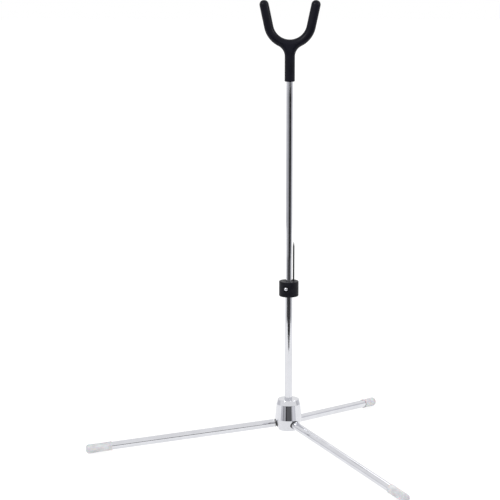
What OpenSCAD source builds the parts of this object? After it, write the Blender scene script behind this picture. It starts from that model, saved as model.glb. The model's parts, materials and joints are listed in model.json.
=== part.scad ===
// Y-fork tripod stand: a rubber-covered fork on a telescoping chrome post,
// held by a clamp collar and carried by a turned hub on three screw-in legs.
// Millimetres. +Z is up, and the origin is on the floor below the post's axis.

/* [Legs] */
// Distance along a leg from the post axis to the tip of its foot cap
leg_reach = 327; // [220:1:420]
// Slope of each leg below the horizontal, in degrees
leg_droop = 7.8; // [4:0.2:14]
// Direction of the first leg about the post, in degrees from +X
leg_heading = -58; // [-90:1:90]
// Outer diameter of a leg tube
leg_od = 12.7; // [11.8:0.1:13.2]
// Wall thickness of a leg tube
leg_wall = 1; // [0.8:0.1:1.4]
// Diameter of the threaded stud at the leg's inner end
leg_stud_d = 8; // [6:0.5:8]
// Length of a foot cap
cap_len = 42; // [15:1:60]
// Wall thickness of a foot cap
cap_wall = 1.05; // [0.9:0.05:1.6]
// Radius of the foot cap's rounded end
cap_round = 5; // [3:0.5:6]

/* [Hub] */
// Height of the hub's top face above the crossing of the leg axes
hub_top = 37; // [34:1:44]
// Depth of the hub's underside below the crossing of the leg axes
hub_under = 13.2; // [12.8:0.2:16]
// Largest diameter of the hub
hub_od = 42.8; // [40:0.4:48]
// Diameter of the hub's top face
hub_top_d = 33.6; // [30:0.2:36]
// Diameter of the hub's underside
hub_under_d = 31.2; // [29:0.2:34]

/* [Post] */
// Outer diameter of the lower post tube
post_od = 12; // [11.6:0.1:12.4]
// Inner diameter of the lower post tube
post_id = 10.4; // [10.3:0.05:10.6]
// Outer diameter of the sliding mast tube
mast_od = 10; // [9.8:0.05:10]
// Inner diameter of the sliding mast tube
mast_id = 8; // [7:0.1:8.4]
// Overall length of the mast tube
mast_len = 420; // [390:5:430]

/* [Collar] */
// Outer diameter of the clamp collar
collar_od = 30.9; // [28:0.1:34]
// Height of the clamp collar
collar_h = 24; // [23:0.5:28]
// Height of the collar's underside above the crossing of the leg axes
collar_rise = 205; // [200:1:215]
// Direction of the clamp screw about the post, in degrees from +X
clamp_heading = -109; // [-130:1:-80]
// Diameter of the upright wire guard
wire_d = 2.4; // [1.6:0.1:2.8]
// Length of the wire guard above the collar
wire_rise = 61.6; // [40:0.2:90]

/* [Fork] */
// Height of the arm tips above the crossing of the leg axes
fork_rise = 672; // [650:1:700]
// Diameter of a covered fork arm
arm_d = 14.6; // [13:0.1:16]
// Radius of the arms' U bend at its centreline
bend_r = 33.5; // [30:0.5:38]
// Lean of each arm away from the vertical, in degrees
arm_lean = 12; // [0:1:20]
// Straight length of an arm between the bend and its domed tip
arm_len = 35.2; // [20:0.2:50]
// Diameter of the cover's stem
stem_d = 16; // [14:0.1:17]
// Distance from the arm tips down to the bottom of the cover's stem
stem_drop = 126.4; // [120:0.2:140]
// Radius of the fillets between the stem and the bend
throat_r = 18; // [10:1:24]
// Diameter of the steel core inside the fork cover
core_d = 8; // [7:0.1:8]

/* [Hidden] */
$fn = 96;

fit = 0.05;               // radial running clearance of a sliding or turning fit
eps = 0.01;               // overshoot of a cutting tool
leg_count = 3;

// Foot caps and the height of the hub that puts their lowest points on the floor
cap_od = leg_od + 2 * cap_wall;
cap_floor = 3;
edge_reach = leg_reach - cap_round;
edge_offset = cap_od / 2 - cap_round;
hub_z = edge_reach * sin(leg_droop) + edge_offset * cos(leg_droop) + cap_round;

// Leg sockets and studs, as distances along the leg axis from the post axis
socket_face = 17;
socket_d = 15.2;
bore_end = 7;
washer_t = 2;
washer_od = 13.4;
axial_gap = 0.05;
washer_at = socket_face + axial_gap;
shoulder_at = washer_at + washer_t + axial_gap;
shoulder_chamfer = 1.5;
shoulder_len = 2.8;
shoulder_face_d = 9.8;
tube_at = shoulder_at + shoulder_len;
stud_plug_len = 14;
stud_tip = bore_end + 0.3;
stud_lead = 0.8;

// Hub profile heights, measured from the crossing of the leg axes
band_z = 29;
band_d = 38.4;
belly_low_z = 4.7;
hub_edge = 0.7;
post_seat = 12;
bolt_d = 6;
bolt_clear_d = 6.4;
bolt_head_d = 10;
bolt_head_h = 5;
bolt_hex = 5;
bolt_hex_depth = 2.6;
bolt_pocket_d = 11.4;
bolt_pocket_top = -6;
bolt_washer_t = 1.5;
bolt_washer_d = 10.4;
plug_len = 20;
bolt_reach = 16;

// Collar interior, measured from its underside
collar_z = hub_z + collar_rise;
tube_grip = 10;
bush_h = 7;
bush_od = 13;
bush_sink = 0.3;
chamber_d = 11;
clamp_z = 13.4;
bush_id = mast_od + 2 * fit;
wire_depth = 17;
wire_taper = 7;
wire_tip_d = 0.5;
wire_foot = 0.2;
wire_side = 7.6;
wire_back = 5.4;
collar_edge = 0.8;
collar_foot = 0.9;

// Clamp screw, as distances from the post axis
screw_d = 5;
insert_d = 6.8;
insert_at = 7.9;
insert_end = 13;
pocket_d = 9.6;
pad_d = 4.6;
pad_end = 8;
pad_gap = 0.08;
pivot_d = 2.4;
pivot_at = 6.6;
pivot_gap = 0.2;
head_at = 13.2;
head_d = 5.6;
head_len = 3.6;
dome_h = 0.9;

// Mast
tip_dome = arm_d / 2;
dome_step = 12;
dome_end = 84;
stem_z = hub_z + fork_rise - stem_drop;
mast_grip = 14;
mast_top = stem_z + mast_grip;
mast_bottom = mast_top - mast_len;
core_grip = 20;
ring_h = 6;
ring_gap = 0.1;
ring_od = post_id - 2 * fit;
rod_shank_d = 6;
rod_head_d = 9.6;
rod_head_h = 2;
rod_plug_len = 12;

// Fork, in the plane y = 0
arm_lap = 2;              // overlap of an arm with the bend that it continues
bend_slim = 0.4;          // the bend is this much thinner than the arms
bend_z = hub_z + fork_rise - tip_dome - arm_len * cos(arm_lean) + bend_r * sin(arm_lean);
bend_x = bend_r * cos(arm_lean);
bend_low = bend_z - bend_r * sin(arm_lean);
throat_x = stem_d / 2 + throat_r;
outer_r = bend_r + (arm_d - bend_slim) / 2;
throat_fall = sqrt(pow(outer_r + throat_r, 2) - pow(throat_x, 2));
throat_z = bend_z - throat_fall;
throat_turn = atan2(throat_fall, throat_x);
throat_t = 10;
throat_root = 5.4;        // where the web's edge starts, inside the stem
throat_lead = 7;
throat_sink = 0.08;
throat_steps = 8;
throat_out = throat_turn - 14;
throat_end = [(outer_r - 2.6) * cos(throat_out), bend_z - (outer_r - 2.6) * sin(throat_out)];
core_inset = 8;

function leg_angle(i) = leg_heading + (i - 1) * 360 / leg_count;

// ---- placement -----------------------------------------------------------

// Puts a leg part, drawn along +Z from the post axis, in the place of leg i
module on_leg(i) {
    translate([0, 0, hub_z])
        rotate([0, 0, leg_angle(i)])
            rotate([0, 90 + leg_droop, 0])
                children();
}

// Puts a clamp part, drawn along +Z from the post axis, on the clamp's axis
module on_clamp() {
    translate([0, 0, collar_z + clamp_z])
        rotate([0, 0, clamp_heading])
            rotate([0, 90, 0])
                children();
}

module rod(d, from, to) {
    translate([0, 0, from]) cylinder(d = d, h = to - from);
}

module pipe(od, id, from, to) {
    difference() {
        rod(od, from, to);
        rod(id, from - eps, to + eps);
    }
}

// ---- hub -----------------------------------------------------------------

module hub_profile() {
    polygon([
        [0, -hub_under],
        [hub_under_d / 2 - hub_edge, -hub_under],
        [hub_under_d / 2, -hub_under + hub_edge],
        [hub_od / 2, belly_low_z],
        [band_d / 2, band_z],
        [hub_top_d / 2, hub_top - hub_edge],
        [hub_top_d / 2 - hub_edge, hub_top],
        [0, hub_top]
    ]);
}

module leg_socket(i) {
    on_leg(i) {
        rod(leg_stud_d + 2 * fit, bore_end, hub_od);
        rod(socket_d, socket_face, hub_od);
    }
}

module hub() {
    color("silver")
        difference() {
            translate([0, 0, hub_z]) rotate_extrude() hub_profile();
            translate([0, 0, hub_z]) {
                rod(post_od, post_seat, hub_top + 1);
                rod(bolt_clear_d, -hub_under - 1, post_seat + 1);
                rod(bolt_pocket_d, -hub_under - 1, bolt_pocket_top);
            }
            for (i = [1 : leg_count]) leg_socket(i);
        }
}

module hub_washer() {
    color("gray")
        translate([0, 0, hub_z + bolt_pocket_top - bolt_washer_t])
            pipe(bolt_washer_d, bolt_clear_d, 0, bolt_washer_t);
}

module hub_bolt() {
    under_head = bolt_pocket_top - bolt_washer_t;
    color("dimgray")
        translate([0, 0, hub_z])
            difference() {
                union() {
                    rod(bolt_head_d, under_head - bolt_head_h, under_head);
                    rod(bolt_d, under_head - eps, post_seat + bolt_reach);
                }
                translate([0, 0, under_head - bolt_head_h - eps])
                    cylinder(d = bolt_hex / cos(30), h = bolt_hex_depth, $fn = 6);
            }
}

// ---- lower post ----------------------------------------------------------

module post_tube() {
    color("silver")
        pipe(post_od, post_id, hub_z + post_seat, collar_z + tube_grip);
}

module post_plug() {
    color("gray")
        translate([0, 0, hub_z + post_seat])
            pipe(post_id, bolt_d, 0, plug_len);
}

// ---- clamp collar --------------------------------------------------------

module collar_profile() {
    polygon([
        [0, 0],
        [collar_od / 2 - collar_foot, 0],
        [collar_od / 2, collar_foot],
        [collar_od / 2, collar_h - collar_edge],
        [collar_od / 2 - collar_edge, collar_h],
        [0, collar_h]
    ]);
}

module wire_holes() {
    for (side = [-1, 1])
        translate([side * wire_side, wire_back, collar_h - wire_depth])
            cylinder(d = wire_d + 2 * fit, h = wire_depth + 1);
}

module collar() {
    color("#1c1c1e")
        difference() {
            translate([0, 0, collar_z]) rotate_extrude() collar_profile();
            translate([0, 0, collar_z]) {
                rod(post_od, -1, tube_grip);
                rod(chamber_d, tube_grip - eps, collar_h - bush_h + eps);
                rod(bush_od, collar_h - bush_h, collar_h + 1);
                wire_holes();
            }
            on_clamp() {
                rod(pad_d + 2 * fit, 0, insert_at + eps);
                rod(insert_d, insert_at, insert_end + eps);
                rod(pocket_d, insert_end, collar_od);
            }
        }
}

module guide_bush() {
    color("#2a2a2c")
        translate([0, 0, collar_z])
            pipe(bush_od, bush_id, collar_h - bush_h, collar_h - bush_sink);
}

module clamp_insert() {
    color("dimgray")
        on_clamp() pipe(insert_d, screw_d + 2 * fit, insert_at, insert_end);
}

module clamp_pad() {
    color("goldenrod")
        difference() {
            on_clamp() {
                difference() {
                    rod(pad_d, 0, pad_end);
                    rod(pivot_d + 2 * fit, pivot_at - pivot_gap, pad_end + eps);
                }
            }
            rod(mast_od + 2 * pad_gap, collar_z, collar_z + collar_h);
        }
}

module clamp_screw() {
    color("gainsboro")
        on_clamp()
            rotate_extrude()
                polygon([
                    [0, pivot_at],
                    [pivot_d / 2, pivot_at],
                    [pivot_d / 2, pad_end + axial_gap],
                    [screw_d / 2, pad_end + axial_gap],
                    [screw_d / 2, head_at],
                    [head_d / 2, head_at],
                    [head_d / 2, head_at + head_len - dome_h],
                    [head_d / 2 - dome_h, head_at + head_len - dome_h / 3],
                    [head_d / 2 - 2 * dome_h, head_at + head_len],
                    [0, head_at + head_len]
                ]);
}

module wire_guard() {
    color("#303034")
        translate([wire_side, wire_back, collar_z + collar_h - wire_depth + wire_foot]) {
            cylinder(d = wire_d, h = wire_depth - wire_foot + wire_rise - wire_taper);
            translate([0, 0, wire_depth - wire_foot + wire_rise - wire_taper])
                cylinder(d1 = wire_d, d2 = wire_tip_d, h = wire_taper);
        }
}

// ---- mast ----------------------------------------------------------------

module mast_rod() {
    color("silver")
        pipe(mast_od, mast_id, mast_bottom, mast_top);
}

module rod_plug() {
    head_z = -ring_h - 2 * ring_gap;
    color("gray")
        translate([0, 0, mast_bottom]) {
            rod(rod_head_d, head_z - rod_head_h, head_z);
            rod(rod_shank_d, head_z - eps, eps);
            rod(mast_id, 0, rod_plug_len);
        }
}

module glide_ring() {
    color("ivory")
        translate([0, 0, mast_bottom])
            pipe(ring_od, rod_shank_d + 2 * fit, -ring_h - ring_gap, -ring_gap);
}

// ---- fork ----------------------------------------------------------------

// A round bar of diameter d bent along the fork's U, with tips cut back by inset
module u_bar(d, inset) {
    translate([0, 0, bend_z])
        rotate([90, 0, 0])
            rotate([0, 0, 180 + arm_lean])
                rotate_extrude(angle = 180 - 2 * arm_lean)
                    translate([bend_r, 0]) circle(d = d - bend_slim);
    for (side = [-1, 1])
        translate([side * bend_x, 0, bend_low])
            rotate([0, side * arm_lean, 0])
                rod(d, -arm_lap, arm_len - inset);
}

module tip_domes() {
    arc = [for (a = [0 : dome_step : dome_end]) tip_dome * [cos(a), sin(a)]];
    for (side = [-1, 1])
        translate([side * bend_x, 0, bend_low])
            rotate([0, side * arm_lean, 0])
                translate([0, 0, arm_len - eps])
                    rotate_extrude()
                        polygon(concat([[0, 0]], arc, [[0, tip_dome * sin(dome_end)]]));
}

// The web that fills the fillets between the stem and the bend. Its edge runs
// out of the stem, along the fillet's arc, and back into the bend.
module throat() {
    arc = [for (k = [0 : throat_steps])
        let (a = 180 - k * throat_turn / throat_steps)
            [throat_x + throat_r * cos(a) - throat_sink, throat_z + throat_r * sin(a)]
    ];
    side = concat([[throat_root, throat_z - throat_lead]], arc, [throat_end]);
    rotate([90, 0, 0])
        linear_extrude(height = throat_t, center = true)
            for (flip = [0, 1])
                mirror([flip, 0])
                    polygon(concat([[-1, throat_z - throat_lead]], side, [[-1, bend_z - bend_r]]));
}

module fork_core() {
    color("dimgray") {
        u_bar(core_d, core_inset);
        rod(core_d, mast_top - core_grip, bend_z - bend_r);
    }
}

module fork_cover() {
    color("#242427")
        difference() {
            union() {
                u_bar(arm_d, 0);
                tip_domes();
                throat();
                rod(stem_d, stem_z, bend_z - bend_r);
            }
            u_bar(core_d, core_inset);
            rod(core_d, stem_z - 1, bend_z - bend_r);
            rod(mast_od, stem_z - 1, mast_top);
        }
}

// ---- legs ----------------------------------------------------------------

module leg_washer(i) {
    color("#151515")
        on_leg(i) pipe(washer_od, leg_stud_d + 2 * fit, washer_at, washer_at + washer_t);
}

module leg_stud(i) {
    color("gray")
        on_leg(i)
            rotate_extrude()
                polygon([
                    [0, stud_tip],
                    [leg_stud_d / 2 - stud_lead, stud_tip],
                    [leg_stud_d / 2, stud_tip + stud_lead],
                    [leg_stud_d / 2, shoulder_at],
                    [shoulder_face_d / 2, shoulder_at],
                    [leg_od / 2, shoulder_at + shoulder_chamfer],
                    [leg_od / 2, tube_at],
                    [leg_od / 2 - leg_wall, tube_at],
                    [leg_od / 2 - leg_wall, tube_at + stud_plug_len],
                    [0, tube_at + stud_plug_len]
                ]);
}

module leg_tube(i) {
    color("silver")
        on_leg(i) pipe(leg_od, leg_od - 2 * leg_wall, tube_at, leg_reach - cap_floor);
}

module cap_profile() {
    difference() {
        union() {
            translate([0, leg_reach - cap_len]) square([cap_od / 2, cap_len - cap_round]);
            translate([0, leg_reach - cap_round - eps]) square([edge_offset, cap_round + eps]);
            intersection() {
                translate([edge_offset, leg_reach - cap_round]) circle(r = cap_round);
                translate([edge_offset - eps, leg_reach - cap_round - eps])
                    square([cap_round + 1, cap_round + 1]);
            }
        }
        translate([-1, leg_reach - cap_len - 1])
            square([leg_od / 2 + 1, cap_len + 1 - cap_floor]);
    }
}

module foot_cap(i) {
    color("#b9bbb4")
        on_leg(i) rotate_extrude() cap_profile();
}

hub();
hub_bolt();
hub_washer();
post_tube();
post_plug();
collar();
guide_bush();
clamp_insert();
clamp_pad();
clamp_screw();
wire_guard();
mast_rod();
rod_plug();
glide_ring();
fork_core();
fork_cover();
leg_washer(1);  // leg_washer_1
leg_stud(1);  // leg_stud_1
leg_tube(1);  // leg_tube_1
foot_cap(1);  // foot_cap_1
leg_washer(2);  // leg_washer_2
leg_stud(2);  // leg_stud_2
leg_tube(2);  // leg_tube_2
foot_cap(2);  // foot_cap_2
leg_washer(3);  // leg_washer_3
leg_stud(3);  // leg_stud_3
leg_tube(3);  // leg_tube_3
foot_cap(3);  // foot_cap_3
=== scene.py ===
"""Looks of the fork-top tripod stand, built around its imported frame. All sizes are in metres."""

import json
import math

import bmesh
import bpy
import numpy as np
from mathutils import Matrix, Vector


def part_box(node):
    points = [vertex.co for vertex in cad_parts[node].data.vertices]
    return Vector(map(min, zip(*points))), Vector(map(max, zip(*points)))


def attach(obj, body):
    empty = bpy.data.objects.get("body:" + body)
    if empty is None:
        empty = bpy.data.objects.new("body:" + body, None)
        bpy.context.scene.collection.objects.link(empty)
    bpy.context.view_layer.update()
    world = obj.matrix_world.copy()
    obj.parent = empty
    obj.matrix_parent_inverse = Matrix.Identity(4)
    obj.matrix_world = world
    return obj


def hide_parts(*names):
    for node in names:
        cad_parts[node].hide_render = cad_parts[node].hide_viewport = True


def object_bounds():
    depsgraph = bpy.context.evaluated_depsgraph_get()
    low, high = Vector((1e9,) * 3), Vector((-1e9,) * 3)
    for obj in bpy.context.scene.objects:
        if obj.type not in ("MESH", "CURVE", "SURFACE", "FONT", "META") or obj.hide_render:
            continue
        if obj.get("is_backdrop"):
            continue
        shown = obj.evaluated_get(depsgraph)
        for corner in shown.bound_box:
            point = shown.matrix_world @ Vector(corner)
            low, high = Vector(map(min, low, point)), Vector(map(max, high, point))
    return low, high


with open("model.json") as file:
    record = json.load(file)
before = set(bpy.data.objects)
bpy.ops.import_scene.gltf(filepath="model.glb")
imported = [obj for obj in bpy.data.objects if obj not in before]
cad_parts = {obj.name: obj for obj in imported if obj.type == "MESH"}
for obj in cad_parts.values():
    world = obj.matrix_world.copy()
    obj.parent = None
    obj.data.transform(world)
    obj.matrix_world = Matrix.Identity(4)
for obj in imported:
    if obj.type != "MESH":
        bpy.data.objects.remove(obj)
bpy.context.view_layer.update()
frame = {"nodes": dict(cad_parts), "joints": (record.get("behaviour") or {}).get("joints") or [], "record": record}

MM = 0.001
RECORD = frame["record"]
BODY_OF = {n: body for body, names in RECORD["behaviour"]["bodies"].items() for n in names}
SLOT_OF = {s["node"]: s["material_slot"] for s in RECORD["subparts"]}
JOINT = {j["name"]: j for j in frame["joints"]}
LEGS = (1, 2, 3)


# ---- where the frame says things are --------------------------------------------------


def axis_frame(origin, axis):
    """The matrix whose origin is origin and whose Z is axis, with X kept level."""
    z = Vector(axis).normalized()
    x = Vector((0, 0, 1)).cross(z)
    x = x.normalized() if x.length > 1e-6 else Vector((1, 0, 0))
    y = z.cross(x)
    m = Matrix((x, y, z)).transposed().to_4x4()
    m.translation = Vector(origin)
    return m


POST = Matrix.Identity(4)
CLAMP = axis_frame(JOINT["clamp_turn"]["pos_m"], JOINT["clamp_turn"]["axis"])
LEG = {i: axis_frame(JOINT[f"leg_{i}_turn"]["pos_m"], JOINT[f"leg_{i}_turn"]["axis"]) for i in LEGS}


def extent(node, place=POST):
    """(start, end, radius) of a CAD node along and about the Z axis of place."""
    back = place.inverted()
    local = [back @ v.co for v in frame["nodes"][node].data.vertices]
    heights = [p.z for p in local]
    return min(heights), max(heights), max(math.hypot(p.x, p.y) for p in local)


# ---- outlines and meshes --------------------------------------------------------------


def rounded(corners, closed=False, steps=6):
    """The outline through corners (r, z, radius), each turned into an arc of its radius."""
    points = []
    for k, (r, z, radius) in enumerate(corners):
        here = Vector((r, z))
        if radius == 0 or (not closed and k in (0, len(corners) - 1)):
            points.append(here)
            continue
        to_last = (Vector(corners[k - 1][:2]) - here).normalized()
        to_next = (Vector(corners[(k + 1) % len(corners)][:2]) - here).normalized()
        half = to_last.angle(to_next) / 2
        centre = here + (to_last + to_next).normalized() * radius / math.sin(half)
        first = here + to_last * radius / math.tan(half) - centre
        sweep = first.angle_signed(here + to_next * radius / math.tan(half) - centre)
        for s in range(steps + 1):
            turn = Matrix.Rotation(-sweep * s / steps, 2)
            points.append(centre + turn @ first)
    return points


def divided(points, step, closed=False):
    """The outline with points added so that none are more than step apart."""
    out = []
    pairs = list(zip(points, points[1:])) + ([(points[-1], points[0])] if closed else [])
    for a, b in pairs:
        parts = max(1, math.ceil((b - a).length / step))
        out += [a.lerp(b, k / parts) for k in range(parts)]
    return out if closed else out + [points[-1]]


def lathe(name, outline, closed=False, around=96, shape=None):
    """A turned mesh. shape(r, z, angle) may change a point's radius, as a thread does."""
    bm = bmesh.new()
    uv = bm.loops.layers.uv.new("UVMap")
    rings, lengths, run = [], [], 0.0
    for k, p in enumerate(outline):
        run += (p - outline[k - 1]).length if k else 0.0
        lengths.append(run)
        if p[0] < 1e-7:
            rings.append([bm.verts.new((0, 0, p[1]))] * around)
            continue
        ring = []
        for s in range(around):
            a = 2 * math.pi * s / around
            r = shape(p[0], p[1], a) if shape else p[0]
            ring.append(bm.verts.new((r * math.cos(a), r * math.sin(a), p[1])))
        rings.append(ring)
    spans = list(range(len(rings) - 1)) + ([len(rings) - 1] if closed else [])
    girth = 2 * math.pi * max(p[0] for p in outline)
    for k in spans:
        low, high = rings[k], rings[(k + 1) % len(rings)]
        v0 = lengths[k]
        v1 = v0 + (outline[(k + 1) % len(outline)] - outline[k]).length
        for s in range(around):
            t = (s + 1) % around
            corners = [(low[s], s, v0), (low[t], s + 1, v0), (high[t], s + 1, v1), (high[s], s, v1)]
            seen, kept = set(), []
            for vert, u, v in corners:
                if vert not in seen:
                    seen.add(vert)
                    kept.append((vert, u * girth / around, v))
            if len(kept) > 2:
                face = bm.faces.new([c[0] for c in kept])
                for loop, c in zip(face.loops, kept):
                    loop[uv].uv = c[1:]
    bmesh.ops.recalc_face_normals(bm, faces=bm.faces)
    mesh = bpy.data.meshes.new(name)
    bm.to_mesh(mesh)
    bm.free()
    piece = bpy.data.objects.new(name, mesh)
    bpy.context.scene.collection.objects.link(piece)
    return piece


def smooth(piece, angle=32):
    """Shades smooth, apart from edges sharper than angle degrees."""
    piece.data.polygons.foreach_set("use_smooth", [True] * len(piece.data.polygons))
    piece.data.set_sharp_from_angle(angle=math.radians(angle))


def cut(piece, cutters):
    """Takes the cutters out of the piece, and removes them."""
    for c in cutters:
        tool = piece.modifiers.new("cut", "BOOLEAN")
        tool.operation = "DIFFERENCE"
        tool.solver = "EXACT"
        tool.object = c
    bpy.context.view_layer.update()
    graph = bpy.context.evaluated_depsgraph_get()
    mesh = bpy.data.meshes.new_from_object(piece.evaluated_get(graph))
    piece.modifiers.clear()
    piece.data = mesh
    for c in cutters:
        bpy.data.objects.remove(c)


def cutter(d, start, end, place=POST, around=96, chamfer=0.0):
    """A round cutter from start to end, flared by chamfer at its far end."""
    r = d / 2
    outline = [Vector((0, start)), Vector((r, start)), Vector((r, end))]
    if chamfer:
        outline += [Vector((r + 4 * chamfer, end + 4 * chamfer))]
    outline.append(Vector((0, outline[-1][1])))
    tool = lathe("cutter", outline, around=around)
    tool.data.transform(place)
    return tool


def stand_for(piece, node, material, place=POST, angle=32):
    """Puts a finished mesh in place of a CAD node, on its body and with its slot."""
    piece.data.transform(place)
    smooth(piece, angle)
    piece.data.materials.clear()
    piece.data.materials.append(material)
    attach(piece, BODY_OF[node])
    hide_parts(node)
    return piece


def tube_outline(outer, inner, start, end, edge):
    """A tube's closed outline, with its outer and inner edges rounded."""
    inside = min(edge, (outer - inner) * 0.45)
    corners = [(inner, start, inside), (outer, start, inside), (outer, end, inside), (inner, end, inside)]
    return rounded(corners, True)


# ---- materials ------------------------------------------------------------------------


class Finish:
    """A Principled material and short ways to add nodes to it."""

    def __init__(self, name, color, roughness, metallic=0.0, **sockets):
        self.material = bpy.data.materials.new(name)
        self.material.use_nodes = True
        self.tree = self.material.node_tree
        self.shader = self.tree.nodes["Principled BSDF"]
        self.shader.inputs["Base Color"].default_value = (*color, 1)
        self.shader.inputs["Roughness"].default_value = roughness
        self.shader.inputs["Metallic"].default_value = metallic
        for socket, value in sockets.items():
            self.shader.inputs[socket.replace("_", " ")].default_value = value
        self.where = self.tree.nodes.new("ShaderNodeTexCoord")

    def link(self, a, b):
        self.tree.links.new(a, b)

    def place(self, scale):
        """Object coordinates, stretched by scale."""
        node = self.tree.nodes.new("ShaderNodeMapping")
        node.inputs["Scale"].default_value = scale
        self.link(self.where.outputs["Object"], node.inputs["Vector"])
        return node.outputs["Vector"]

    def noise(self, scale, detail=3.0, rough=0.5):
        """Noise from 0 to 1, as fine as scale on each axis."""
        node = self.tree.nodes.new("ShaderNodeTexNoise")
        node.inputs["Scale"].default_value = 1.0
        node.inputs["Detail"].default_value = detail
        node.inputs["Roughness"].default_value = rough
        self.link(self.place(scale), node.inputs["Vector"])
        return node.outputs["Fac"]

    def between(self, fac, low, high, start=0.35, end=0.65):
        """fac mapped from start..end to low..high."""
        node = self.tree.nodes.new("ShaderNodeMapRange")
        for socket, value in zip(("From Min", "From Max", "To Min", "To Max"), (start, end, low, high)):
            node.inputs[socket].default_value = value
        self.link(fac, node.inputs["Value"])
        return node.outputs["Result"]

    def tint(self, fac, low, high):
        """Base colour that runs from low to high with fac."""
        node = self.tree.nodes.new("ShaderNodeMix")
        node.data_type = "RGBA"
        node.inputs["A"].default_value = (*low, 1)
        node.inputs["B"].default_value = (*high, 1)
        self.link(fac, node.inputs["Factor"])
        self.link(node.outputs["Result"], self.shader.inputs["Base Color"])

    def roughen(self, fac, low, high):
        """Roughness that runs from low to high with fac."""
        self.link(self.between(fac, low, high), self.shader.inputs["Roughness"])

    def bump(self, height, distance, strength=1.0, under=None):
        """Relief from height, laid over the bump called under if there is one."""
        node = self.tree.nodes.new("ShaderNodeBump")
        node.inputs["Strength"].default_value = strength
        node.inputs["Distance"].default_value = distance
        self.link(height, node.inputs["Height"])
        if under:
            self.link(under, node.inputs["Normal"])
        self.link(node.outputs["Normal"], self.shader.inputs["Normal"])
        return node.outputs["Normal"]


def chrome(name, color, lines, depth):
    """Polished plate: faint smears, and fine lines whose scale is lines."""
    f = Finish(name, color, 0.05, metallic=1.0)
    smear = f.noise((45, 45, 45), detail=4, rough=0.6)
    f.tint(f.between(smear, 0, 1), [c * 0.93 for c in color], color)
    f.roughen(smear, 0.035, 0.10)
    f.bump(f.noise(lines, detail=2), depth)
    return f.material


def plain_metal(name, color, roughness):
    """Machined or plated metal with a fine even grain and faint wear."""
    f = Finish(name, color, roughness, metallic=1.0)
    worn = f.noise((160, 160, 160), detail=5, rough=0.65)
    f.tint(f.between(worn, 0, 1), [c * 0.72 for c in color], color)
    f.roughen(worn, roughness * 0.8, roughness * 1.35)
    f.bump(f.noise((900, 900, 900), detail=2), 0.00002)
    return f.material


def black_coat(name, color, roughness, metallic=0.6, specular=0.5):
    """Thin dark plating that is rubbed lighter in places."""
    f = Finish(name, color, roughness, metallic=metallic, Specular_IOR_Level=specular)
    rubbed = f.noise((220, 220, 90), detail=5, rough=0.7)
    f.tint(f.between(rubbed, 0, 1, 0.5, 0.75), color, [c * 2.4 for c in color])
    f.roughen(rubbed, roughness, roughness * 1.5)
    f.bump(rubbed, 0.00001)
    return f.material


def moulded_plastic():
    f = Finish("satin_black_plastic", (0.005, 0.005, 0.009), 0.42, Specular_IOR_Level=0.12)
    cloud = f.noise((120, 120, 120), detail=4)
    f.tint(f.between(cloud, 0, 1), (0.0035, 0.0035, 0.006), (0.007, 0.007, 0.011))
    f.roughen(cloud, 0.36, 0.5)
    f.bump(f.noise((2600, 2600, 2600), detail=2), 0.00003, 0.6)
    return f.material


def fork_rubber():
    f = Finish("fork_rubber", (0.004, 0.004, 0.009), 0.32, Specular_IOR_Level=0.12)
    cloud = f.noise((60, 60, 60), detail=5, rough=0.6)
    f.tint(f.between(cloud, 0, 1), (0.003, 0.003, 0.0065), (0.005, 0.005, 0.010))
    f.roughen(f.noise((150, 150, 150), detail=4), 0.27, 0.38)
    soft = f.bump(f.noise((90, 90, 60), detail=2), 0.00025, 0.35)
    f.bump(f.noise((3200, 3200, 3200), detail=2), 0.00003, 0.5, under=soft)
    return f.material


def seal_rubber():
    f = Finish("seal_rubber", (0.07, 0.07, 0.075), 0.6)
    f.roughen(f.noise((400, 400, 400)), 0.5, 0.72)
    f.bump(f.noise((1800, 1800, 1800)), 0.00004, 0.6)
    return f.material


def cap_vinyl():
    """Cloudy grey vinyl, a little see-through in depth, with faint scuffs."""
    f = Finish(
        "cap_vinyl", (0.52, 0.52, 0.54), 0.36, Subsurface_Weight=0.25, Subsurface_Scale=0.002,
        Coat_Weight=0.25, Coat_Roughness=0.2)
    cloud = f.noise((70, 70, 70), detail=5, rough=0.62)
    f.tint(f.between(cloud, 0, 1, 0.3, 0.7), (0.42, 0.42, 0.44), (0.62, 0.62, 0.64))
    f.roughen(f.noise((300, 300, 300), detail=4), 0.28, 0.5)
    f.bump(f.noise((1100, 1100, 1100), detail=3), 0.00005, 0.5)
    return f.material


def nylon():
    f = Finish("natural_nylon", (0.72, 0.68, 0.57), 0.45, Subsurface_Weight=0.2, Subsurface_Scale=0.001)
    f.roughen(f.noise((200, 200, 200)), 0.38, 0.55)
    f.bump(f.noise((900, 900, 900)), 0.00003, 0.5)
    return f.material


CHROME = (0.69, 0.695, 0.73)
MATERIAL = {
    "hub_chrome": chrome("hub_chrome", CHROME, (12, 12, 2600), 0.0000015),
    "tube_chrome": chrome("tube_chrome", CHROME, (500, 500, 9), 0.000001),
    "leg_chrome": chrome("leg_chrome", CHROME, (300, 300, 300), 0.000001),
    "screw_chrome": chrome("screw_chrome", (0.62, 0.62, 0.67), (800, 800, 800), 0.000001),
    "steel": plain_metal("zinc_steel", (0.50, 0.50, 0.51), 0.3),
    "stud_steel": plain_metal("stud_steel", (0.58, 0.58, 0.59), 0.24),
    "black_steel": black_coat("black_oxide_steel", (0.04, 0.04, 0.043), 0.38),
    "black_plastic": moulded_plastic(),
    "brass": plain_metal("machined_brass", (0.80, 0.58, 0.26), 0.22),
    "dark_wire": black_coat("dark_spring_wire", (0.006, 0.006, 0.008), 0.6, 0.0, 0.04),
    "nylon": nylon(),
    "fork_rubber": fork_rubber(),
    "seal_rubber": seal_rubber(),
    "cap_vinyl": cap_vinyl(),
}


def finish_of(node):
    """The material of a node's slot."""
    return MATERIAL[SLOT_OF[node]]


# ---- hub and post ---------------------------------------------------------------------

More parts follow.
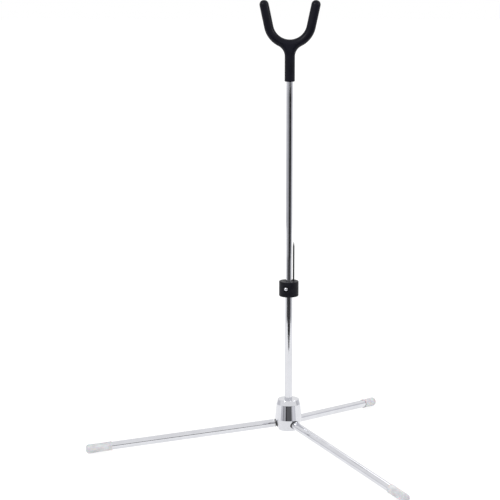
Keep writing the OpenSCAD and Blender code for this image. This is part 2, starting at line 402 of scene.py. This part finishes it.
SOCKET_D = 15.2 * MM
SOCKET_FACE = 17 * MM
STUD_BORE_D = 8.1 * MM
STUD_BORE_END = 7 * MM
BOLT_POCKET_D = 11.4 * MM
BOLT_BORE_R = 3.2 * MM
HUB_FOOT_R = 15.6 * MM
HUB_SHOULDER_R = 19.2 * MM
HUB_TOP_R = 16.8 * MM
BELLY_RISE = 4.7 * MM
SHOULDER_RISE = 29 * MM
POST_GAP = 0.01 * MM


def make_hub():
    """The turned hub: narrow top face, steep taper, long straight belly and a narrower foot."""
    low, high, radius = extent("hub")
    centre = JOINT["leg_1_turn"]["pos_m"][2]
    post_r = extent("post_tube")[2]
    seat = extent("post_tube")[0]
    _, bolt_seat, _ = extent("hub_washer")
    corners = [
        (BOLT_POCKET_D / 2, low, 0.3 * MM),
        (HUB_FOOT_R, low, 0.9 * MM),
        (radius, centre + BELLY_RISE, 1.2 * MM),
        (HUB_SHOULDER_R, centre + SHOULDER_RISE, 0.6 * MM),
        (HUB_TOP_R, high, 1.1 * MM),
        (post_r + POST_GAP, high, 0.35 * MM),
        (post_r + POST_GAP, seat, 0),
        (BOLT_BORE_R, seat, 0),
        (BOLT_BORE_R, bolt_seat, 0),
        (BOLT_POCKET_D / 2, bolt_seat, 0),
    ]
    outline = divided(rounded(corners, True, 8), 1.0 * MM, True)
    hub = lathe("hub_turned", outline, closed=True, around=192)
    tools = []
    for i in LEGS:
        tools.append(cutter(SOCKET_D, SOCKET_FACE, 0.03, LEG[i]))
        tools.append(cutter(STUD_BORE_D, STUD_BORE_END, SOCKET_FACE + MM, LEG[i], 48))
    cut(hub, tools)
    stand_for(hub, "hub", finish_of("hub"), angle=28)


def make_bolt():
    """The cap screw under the hub, with its hexagon recess."""
    low, high, radius = extent("hub_bolt")
    shank = 3 * MM
    head_top = extent("hub_washer")[0]
    corners = [
        (0, low, 0), (radius, low, 0.7 * MM), (radius, head_top, 0.15 * MM), (shank, head_top, 0),
        (shank, high, 0.5 * MM), (0, high, 0)]

    def grooves(r, z, a):
        on_rim = r > radius - 0.01 * MM and z < head_top - 0.4 * MM
        return r - 0.12 * MM * (0.5 + 0.5 * math.cos(36 * a)) if on_rim else r

    bolt = lathe("hub_cap_screw", divided(rounded(corners), 0.8 * MM), around=216, shape=grooves)
    recess = cutter(5 * MM / math.cos(math.pi / 6), low - MM, low + 2.6 * MM, around=6)
    cut(bolt, [recess])
    stand_for(bolt, "hub_bolt", finish_of("hub_bolt"))


def make_tube(node, name, edge=0.35 * MM):
    """An upright tube, as long and as thick as its CAD node."""
    low, high, radius = extent(node)
    bore = min(math.hypot(v.co.x, v.co.y) for v in frame["nodes"][node].data.vertices)
    outline = divided(tube_outline(radius, bore, low, high, edge), 4 * MM, True)
    piece = lathe(name, outline, closed=True, around=128)
    stand_for(piece, node, finish_of(node))


# ---- collar, clamp screw and wire guard -----------------------------------------------

SCREW_POCKET_D = 9.6 * MM
INSERT_BORE_D = 6.8 * MM
CLAMP_SHANK_R = 2.5 * MM
WIRE_POINT = 7 * MM


def make_collar():
    """The clamp collar: a moulded drum with a screw pocket and two wire holes."""
    low, high, radius = extent("collar")
    bush_low, _, bush_r = extent("guide_bush")
    tube_top, tube_r = extent("post_tube")[1:]
    chamber_r = 5.5 * MM
    corners = [
        (tube_r, low, 0.3 * MM), (radius - 0.8 * MM, low, 0.6 * MM), (radius, low + 1.1 * MM, 0.8 * MM),
        (radius, high, 0.95 * MM), (bush_r, high, 0.3 * MM), (bush_r, bush_low, 0),
        (chamber_r, bush_low, 0), (chamber_r, tube_top, 0), (tube_r, tube_top, 0)]
    collar = lathe("clamp_collar", divided(rounded(corners, True), 0.8 * MM, True), closed=True, around=192)
    wire_low, _, wire_r = extent("wire_guard", wire_place())
    foot = extent("wire_guard")[0]
    tools = [
        cutter(SCREW_POCKET_D, 13 * MM, 20 * MM, CLAMP), cutter(INSERT_BORE_D, 5 * MM, 14 * MM, CLAMP, 64)]
    for side in (-1, 1):
        spot = wire_place()
        spot.translation.x *= side
        hole_d = 2 * wire_r + 0.1 * MM
        tools.append(cutter(hole_d, foot - 0.2 * MM, high - 0.12 * MM, spot, 48, chamfer=0.12 * MM))
    cut(collar, tools)
    stand_for(collar, "collar", finish_of("collar"))


def make_bush():
    """The nylon bush in the collar that guides the mast."""
    low, high, radius = extent("guide_bush")
    bore = extent("mast_rod")[2] + 0.05 * MM
    corners = [
        (bore, low, 0.1 * MM), (radius, low, 0.2 * MM), (radius, high, 0.35 * MM), (bore, high, 0.6 * MM)]
    bush = lathe("mast_guide_bush", rounded(corners, True), closed=True)
    stand_for(bush, "guide_bush", finish_of("guide_bush"))


def screw_thread(core, crest, pitch, start, end):
    """A shape function: a V thread between start and end that fades out at both."""

    def radius(r, z, a):
        if not start <= z <= end or abs(r - crest) > 0.02 * MM:
            return r
        phase = (z / pitch - a / (2 * math.pi)) % 1.0
        ridge = min(1.0, 1.25 * (1 - abs(2 * phase - 1)))
        fade = min(1.0, (z - start) / pitch, (end - z) / pitch)
        return crest - (crest - core) * (1 - ridge) * fade

    return radius


def make_clamp_insert():
    """The plain ring in the collar that stands for the screw's threaded insert."""
    low, high, radius = extent("clamp_insert", CLAMP)
    corners = [
        (CLAMP_SHANK_R, low, 0), (radius, low, 0.2 * MM), (radius, high, 0.25 * MM),
        (CLAMP_SHANK_R, high, 0.3 * MM)]
    ring = lathe("threaded_insert", rounded(corners, True), closed=True, around=72)
    stand_for(ring, "clamp_insert", finish_of("clamp_insert"), CLAMP)


def make_clamp_screw():
    """The clamp screw: pivot, threaded shank and a plain domed head."""
    low, high, radius = extent("clamp_screw", CLAMP)
    shank, pivot = CLAMP_SHANK_R, 1.2 * MM
    neck, head = 8.05 * MM, 13.2 * MM
    corners = [
        (0, low, 0), (pivot, low, 0.25 * MM), (pivot, neck, 0), (shank, neck, 0.3 * MM), (shank, head, 0),
        (radius, head, 0.3 * MM), (radius, high - 1.3 * MM, 0.9 * MM),
        (radius * 0.6, high - 0.15 * MM, 3 * MM), (0, high, 0)]
    thread = screw_thread(2.12 * MM, shank, 0.8 * MM, neck + 0.3 * MM, head - 0.2 * MM)

    outline = divided(rounded(corners), 0.09 * MM)
    screw = lathe("clamp_thumbscrew", outline, around=96, shape=thread)
    stand_for(screw, "clamp_screw", finish_of("clamp_screw"), CLAMP, angle=40)


def wire_place():
    """The upright axis of the wire guard."""
    low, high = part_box("wire_guard")
    return Matrix.Translation(((low.x + high.x) / 2, (low.y + high.y) / 2, 0))


def make_wire():
    """The wire guard, drawn to a point at its top."""
    place = wire_place()
    low, high, radius = extent("wire_guard", place)
    corners = [
        (0, low, 0), (radius, low, 0.2 * MM), (radius, high - WIRE_POINT, 9 * MM),
        (0.3 * MM, high, 0.2 * MM), (0, high, 0)]
    wire = lathe("wire_guard_rod", divided(rounded(corners), 2 * MM), around=48)
    stand_for(wire, "wire_guard", finish_of("wire_guard"), place)


# ---- fork -----------------------------------------------------------------------------

GRID = 0.75 * MM
TIP_RISE = 7.3 * MM
BLEND_DROP = 75 * MM
BLEND_LENGTH = 40 * MM


def fork_sizes():
    """The fork's driving sizes, from its CAD node's box and fixed numbers."""
    low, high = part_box("fork_cover")
    lean = math.radians(12)
    arm_r, bend_r, stem_r = 7.25 * MM, 33.5 * MM, 8.0 * MM
    arm_len = 35.2 * MM
    centre = high.z - TIP_RISE - arm_len * math.cos(lean) + bend_r * math.sin(lean)
    return {"low": low, "high": high, "lean": lean, "arm_r": arm_r, "bend_r": bend_r, "stem_r": stem_r,
            "arm_len": arm_len, "centre": centre, "throat_r": 18 * MM}


def fork_outline_distance(x, z, s):
    """Distance to the fork's outline in its own plane, less than 0 inside."""
    x = np.abs(x)
    px, pz = x, z - s["centre"]
    rho = np.hypot(px, pz)
    bend = np.abs(rho - s["bend_r"])
    sin, cos = math.sin(s["lean"]), math.cos(s["lean"])
    qx, qz = px - s["bend_r"] * cos, pz + s["bend_r"] * sin
    along = qx * sin + qz * cos
    beyond = np.clip(along - s["arm_len"], 0, None)
    across = qx * cos - qz * sin
    arm = np.hypot(across, beyond)
    bar = np.where(along < 0, bend, arm) - s["arm_r"]
    stem = x - s["stem_r"]
    r = s["throat_r"]
    reach = s["bend_r"] + s["arm_r"] + r
    fx = s["stem_r"] + r
    fz = -math.sqrt(reach**2 - fx**2)
    dx, dz = px - fx, pz - fz
    web = r - np.hypot(dx, dz)
    to_bend = math.atan2(-fz, -fx)
    angle = np.arctan2(dz, dx)
    in_web = (angle >= to_bend) | (angle <= -math.pi + 1e-9)
    web = np.where(in_web, web, 1.0)
    below = np.minimum(stem, web)
    inner = (s["bend_r"] - s["arm_r"]) - rho
    return np.minimum(bar, np.maximum(below, np.where(pz > 0, 1.0, inner)))


def fork_field(x, y, z, s):
    """Distance to the moulded cover: its outline, swollen to round bars with a flat web."""
    flat = fork_outline_distance(x, z, s)
    t = np.clip((z - s["centre"] + BLEND_DROP) / BLEND_LENGTH, 0, 1)
    half = s["stem_r"] + (s["arm_r"] - s["stem_r"]) * t * t * (3 - 2 * t)
    body = np.hypot(np.clip(flat + half, 0, None), y) - half
    hem = 1.0 * MM
    foot = s["low"].z - z
    a, b = body + hem, foot + hem
    return np.minimum(np.maximum(body, foot), -hem) + np.hypot(np.clip(a, 0, None), np.clip(b, 0, None))


def surface_net(name, field, low, high, step):
    """The closed quad mesh where field is 0, from one point in each cell that it crosses."""
    margin = 2.5 * step
    axes = [np.arange(low[k] - margin, high[k] + margin + step, step) for k in range(3)]
    grid = np.meshgrid(*axes, indexing="ij")
    values = field(*grid)
    inside = values < 0
    count = np.zeros([n - 1 for n in inside.shape], int)
    for i in (0, 1):
        for j in (0, 1):
            for k in (0, 1):
                count += inside[i:i - 1 or None, j:j - 1 or None, k:k - 1 or None]
    mixed = (count > 0) & (count < 8)
    index = np.full(mixed.shape, -1)
    index[mixed] = np.arange(mixed.sum())
    cells = np.argwhere(mixed)
    points = np.stack([axes[k][cells[:, k]] + step / 2 for k in range(3)], 1)
    points = settle(points, field, step)
    faces = []
    for axis in range(3):
        a, b = [(1, 2), (2, 0), (0, 1)][axis]
        first = np.moveaxis(inside, axis, 0)[:-1]
        second = np.moveaxis(inside, axis, 0)[1:]
        hits = np.argwhere(first != second)
        others = [k for k in range(3) if k != axis]
        cell = np.zeros((len(hits), 3), int)
        cell[:, axis] = hits[:, 0]
        cell[:, others[0]], cell[:, others[1]] = hits[:, 1], hits[:, 2]
        steps = [(-1, -1), (0, -1), (0, 0), (-1, 0)]
        quad = []
        for da, db in steps:
            c = cell.copy()
            c[:, a] += da
            c[:, b] += db
            quad.append(index[c[:, 0], c[:, 1], c[:, 2]])
        quad = np.stack(quad, 1)
        outward = first[hits[:, 0], hits[:, 1], hits[:, 2]]
        quad[~outward] = quad[~outward][:, ::-1]
        faces.append(quad)
    mesh = bpy.data.meshes.new(name)
    mesh.from_pydata(points.tolist(), [], np.concatenate(faces).tolist())
    mesh.validate()
    piece = bpy.data.objects.new(name, mesh)
    bpy.context.scene.collection.objects.link(piece)
    return piece


def settle(points, field, step, rounds=6):
    """Moves points onto the surface where field is 0, along the field's own slope."""
    tiny = step * 0.05
    for _ in range(rounds):
        value = field(*points.T)
        slope = np.stack([
            (field(*(points + d).T) - field(*(points - d).T)) / (2 * tiny) for d in np.eye(3) * tiny], 1)
        size = np.clip((slope**2).sum(1), 0.25, None)
        points = points - slope * (value / size)[:, None]
    return points


def make_fork_cover():
    """The moulded fork cover, bored for the mast."""
    s = fork_sizes()
    cover = surface_net(
        "fork_rubber_cover", lambda x, y, z: fork_field(x, y, z, s), s["low"], s["high"], GRID)
    mast_top, mast_r = extent("mast_rod")[1:]
    cut(cover, [cutter(2 * mast_r + 0.02 * MM, s["low"].z - 5 * MM, mast_top)])
    stand_for(cover, "fork_cover", finish_of("fork_cover"), angle=45)


# ---- legs -----------------------------------------------------------------------------


def make_leg(i):
    """One leg: rubber washer, threaded stud, tube and foot cap."""
    place = LEG[i]
    low, high, radius = extent(f"leg_washer_{i}", place)
    bore = 4.05 * MM
    corners = [
        (bore, low, 0.3 * MM), (radius, low, 0.8 * MM), (radius, high, 0.8 * MM), (bore, high, 0.3 * MM)]
    washer = lathe(f"seal_washer_{i}", rounded(corners, True), closed=True, around=72)
    stand_for(washer, f"leg_washer_{i}", finish_of(f"leg_washer_{i}"), place)

    tube_low, tube_high, tube_r = extent(f"leg_tube_{i}", place)
    wall = tube_r - 1.0 * MM
    tip, plug_end, _ = extent(f"leg_stud_{i}", place)
    shoulder = tube_low - 2.8 * MM
    thread_r = 4 * MM
    corners = [
        (0, tip, 0), (3.2 * MM, tip, 0.1 * MM), (thread_r, tip + 0.8 * MM, 0.1 * MM),
        (thread_r, shoulder, 0.15 * MM), (4.9 * MM, shoulder, 0.2 * MM),
        (tube_r, shoulder + 1.5 * MM, 0.4 * MM), (tube_r, tube_low, 0.15 * MM),
        (wall, tube_low, 0), (wall, plug_end, 0.5 * MM), (0, plug_end, 0)]
    thread = screw_thread(3.35 * MM, thread_r, 1.25 * MM, tip + 0.8 * MM, shoulder - 0.6 * MM)
    outline = divided(rounded(corners, steps=4), 0.14 * MM)
    stud = lathe(f"threaded_stud_{i}", outline, around=64, shape=thread)
    stand_for(stud, f"leg_stud_{i}", finish_of(f"leg_stud_{i}"), place, angle=40)

    outline = tube_outline(tube_r, wall, tube_low, tube_high, 0.3 * MM)
    tube = lathe(f"chrome_leg_{i}", divided(outline, 5 * MM, True), closed=True, around=128)
    stand_for(tube, f"leg_tube_{i}", finish_of(f"leg_tube_{i}"), place)

    cap_low, cap_high, cap_r = extent(f"foot_cap_{i}", place)
    waist_r = cap_r - 0.25 * MM
    lip = 2.2 * MM
    corners = [
        (tube_r, cap_low, 0.25 * MM), (cap_r, cap_low, 0.5 * MM), (cap_r, cap_low + lip, 0.2 * MM),
        (waist_r, cap_low + lip + 0.4 * MM, 0.3 * MM), (waist_r, cap_high - 14 * MM, 4 * MM),
        (cap_r, cap_high - 10 * MM, 4 * MM), (cap_r, cap_high, 5 * MM), (0, cap_high, 0),
        (0, tube_high, 0), (tube_r, tube_high, 0)]
    outline = divided(rounded(corners, True, 10), 1.5 * MM, True)
    cap = lathe(f"vinyl_foot_{i}", outline, closed=True, around=96)
    stand_for(cap, f"foot_cap_{i}", finish_of(f"foot_cap_{i}"), place)


# ---- inner pieces that keep their CAD shape -------------------------------------------


def finish_inner_nodes():
    """Gives the hidden pieces, which keep their CAD meshes, their materials."""
    for node in ("hub_washer", "post_plug", "clamp_pad", "rod_plug", "glide_ring", "fork_core"):
        inner = frame["nodes"][node]
        for slot in inner.material_slots:
            slot.material = finish_of(node)


# ---- studio ---------------------------------------------------------------------------


def glossy_card(name, points, faces, level, inner_only=False):
    """A studio card that only reflections see, from its inner side alone if asked."""
    mesh = bpy.data.meshes.new(name)
    mesh.from_pydata(points, [], faces)
    card = bpy.data.objects.new(name, mesh)
    bpy.context.scene.collection.objects.link(card)
    look = bpy.data.materials.new(name)
    look.use_nodes = True
    nodes = look.node_tree.nodes
    nodes.clear()
    glow = nodes.new("ShaderNodeEmission")
    glow.inputs["Color"].default_value = (level, level, level * 1.04, 1)
    out = nodes.new("ShaderNodeOutputMaterial")
    shown = glow.outputs["Emission"]
    if inner_only:
        side = nodes.new("ShaderNodeNewGeometry")
        mix = nodes.new("ShaderNodeMixShader")
        look.node_tree.links.new(side.outputs["Backfacing"], mix.inputs[0])
        look.node_tree.links.new(nodes.new("ShaderNodeBsdfTransparent").outputs[0], mix.inputs[1])
        look.node_tree.links.new(shown, mix.inputs[2])
        shown = mix.outputs[0]
    look.node_tree.links.new(shown, out.inputs["Surface"])
    mesh.materials.append(look)
    for ray in ("camera", "diffuse", "shadow", "transmission", "volume_scatter"):
        setattr(card, f"visible_{ray}", False)
    card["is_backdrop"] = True
    return card


def direction(azimuth):
    """A level direction, azimuth degrees to the camera's right of the way to the camera."""
    a = math.radians(azimuth)
    return Vector((math.sin(a), -math.cos(a), 0))


CARD_STEPS = 12


def standing_card(name, left, right, radius, low, high, level):
    """A curved upright card about the post, between two azimuths."""
    points, faces = [], []
    for k in range(CARD_STEPS + 1):
        d = direction(left + (right - left) * k / CARD_STEPS) * radius
        points += [(d.x, d.y, low), (d.x, d.y, high)]
    for k in range(CARD_STEPS):
        faces.append((2 * k, 2 * k + 2, 2 * k + 3, 2 * k + 1))
    return glossy_card(name, points, faces, level, inner_only=True)


def lying_card(name, left, right, inner, outer, height, level):
    """A flat ring sector about the post, just above the floor."""
    points, faces = [], []
    for k in range(CARD_STEPS + 1):
        d = direction(left + (right - left) * k / CARD_STEPS)
        points += [(d.x * inner, d.y * inner, height), (d.x * outer, d.y * outer, height)]
    for k in range(CARD_STEPS):
        faces.append((2 * k, 2 * k + 1, 2 * k + 3, 2 * k + 2))
    return glossy_card(name, points, faces, level)


def area_light(name, at, towards, size, power):
    """A white rectangular light at one place, facing another."""
    data = bpy.data.lights.new(name, "AREA")
    data.shape = "RECTANGLE"
    data.size, data.size_y = size
    data.energy = power
    light = bpy.data.objects.new(name, data)
    light.location = at
    light.rotation_euler = (Vector(towards) - Vector(at)).to_track_quat("-Z", "Y").to_euler()
    bpy.context.scene.collection.objects.link(light)
    return light


# Cards that only the chrome's reflections see: (left azimuth, right azimuth, brightness) of each.
# They were set against the photograph's stripes, so they suit the main camera's view.
HUB_BANDS = [
    (-56, -40, 0.74), (-40, -35, 0.3), (-35, -19, 0.5), (-19, -11.5, 0.04), (-11.5, 22.3, 0.13),
    (22.3, 24, 0.35), (24, 30, 0.6), (30, 48, 0.82), (48, 53, 0.7)]
WALL_BANDS = [
    (-180, -70, 0.74), (-70, -17, 0.42), (-17, -1.2, 0.02), (-1.2, 3.5, 0.25), (3.5, 60, 0.02),
    (60, 68, 0.3), (68, 100, 0.55), (100, 180, 0.76)]
FLOOR_RINGS = [
    (0.70, 0.80, [(-14, 25, 0.05)]),
    (0.80, 0.93, [(-30, 42, 0.03)]),
    (0.93, 1.25, [(-75, -47, 0.35), (-47, -1.2, 0.03), (-1.2, 3.5, 0.25), (3.5, 41, 0.03), (41, 90, 0.4)]),
    (1.25, 1.60, [(-80, -25, 0.28), (-25, -1.2, 0.02), (-1.2, 3.5, 0.25), (3.5, 35, 0.02), (35, 80, 0.3)]),
    (1.60, 2.00, [(-70, -17, 0.42), (-17, -1.2, 0.02), (-1.2, 3.5, 0.25), (3.5, 66, 0.02), (66, 100, 0.5)]),
]
# Name, place, size and power of each light
LIGHTS = [
    ("key", (-1.3, -1.5, 1.9), (0.5, 0.7), 16),
    ("fill", (1.7, -0.6, 1.3), (0.3, 0.9), 7),
    ("rim", (0.4, 1.2, 1.7), (1.2, 0.6), 3),
]
CAMERA_FROM_HUB = Vector((-0.0615, -3.3485, 0.9302))
CAMERA_LENS = 155.7
CAMERA_PITCH = math.radians(11.01)
CAMERA_ROLL = math.radians(0.05)


def banded_card(name, bands, radius, low, high):
    """A row of standing cards, one for each band."""
    for k, (left, right, level) in enumerate(bands):
        standing_card(f"{name}_{k}", left, right, radius, low, high, level)


def make_studio():
    """The pale floor, white world, reflection cards and three soft lights."""
    half = 8.0
    corners = [(-half, -half, 0), (half, -half, 0), (half, half, 0), (-half, half, 0)]
    mesh = bpy.data.meshes.new("floor")
    mesh.from_pydata(corners, [], [(0, 1, 2, 3)])
    floor = bpy.data.objects.new("floor", mesh)
    floor.location.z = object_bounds()[0].z
    bpy.context.scene.collection.objects.link(floor)
    paper = Finish("white_paper", (0.3, 0.3, 0.3), 0.9, Emission_Color=(1, 1, 1, 1), Emission_Strength=0.73)
    paper.roughen(paper.noise((6, 6, 6)), 0.85, 0.95)
    mesh.materials.append(paper.material)
    floor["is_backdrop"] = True

    world = bpy.data.worlds.new("white_room")
    world.use_nodes = True
    world.node_tree.nodes["Background"].inputs["Color"].default_value = (1, 1, 1, 1)
    world.node_tree.nodes["Background"].inputs["Strength"].default_value = 1.0
    bpy.context.scene.world = world

    hub_z = JOINT["leg_1_turn"]["pos_m"][2]
    banded_card("hub_flag", HUB_BANDS, 50 * MM, hub_z + 0.9 * MM, hub_z + 26.3 * MM)
    banded_card("wall_flag", WALL_BANDS, FLOOR_RINGS[-1][1], 0.0, 0.40)
    for k, (inner, outer, bands) in enumerate(FLOOR_RINGS):
        for j, (left, right, level) in enumerate(bands):
            lying_card(f"floor_flag_{k}_{j}", left, right, inner, outer, 2 * MM, level)

    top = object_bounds()[1].z
    for name, at, size, power in LIGHTS:
        area_light(name, at, (0, 0, top * 0.8), size, power)


def make_camera():
    """A long lens a little above the stand, with a very small roll."""
    data = bpy.data.cameras.new("camera")
    data.sensor_width = 36
    data.lens = CAMERA_LENS
    camera = bpy.data.objects.new("camera", data)
    camera.location = Vector(JOINT["leg_1_turn"]["pos_m"]) + CAMERA_FROM_HUB
    tilt = Matrix.Rotation(math.pi / 2 - CAMERA_PITCH, 4, "X")
    camera.rotation_euler = (tilt @ Matrix.Rotation(CAMERA_ROLL, 4, "Z")).to_euler()
    bpy.context.scene.collection.objects.link(camera)
    bpy.context.scene.camera = camera


# ---- the whole stand ------------------------------------------------------------------

make_hub()
make_bolt()
make_tube("post_tube", "lower_post")
make_tube("mast_rod", "sliding_mast")
make_collar()
make_bush()
make_clamp_insert()
make_clamp_screw()
make_wire()
make_fork_cover()
for number in LEGS:
    make_leg(number)
finish_inner_nodes()
make_camera()
make_studio()
bpy.context.scene.view_settings.view_transform = "Standard"
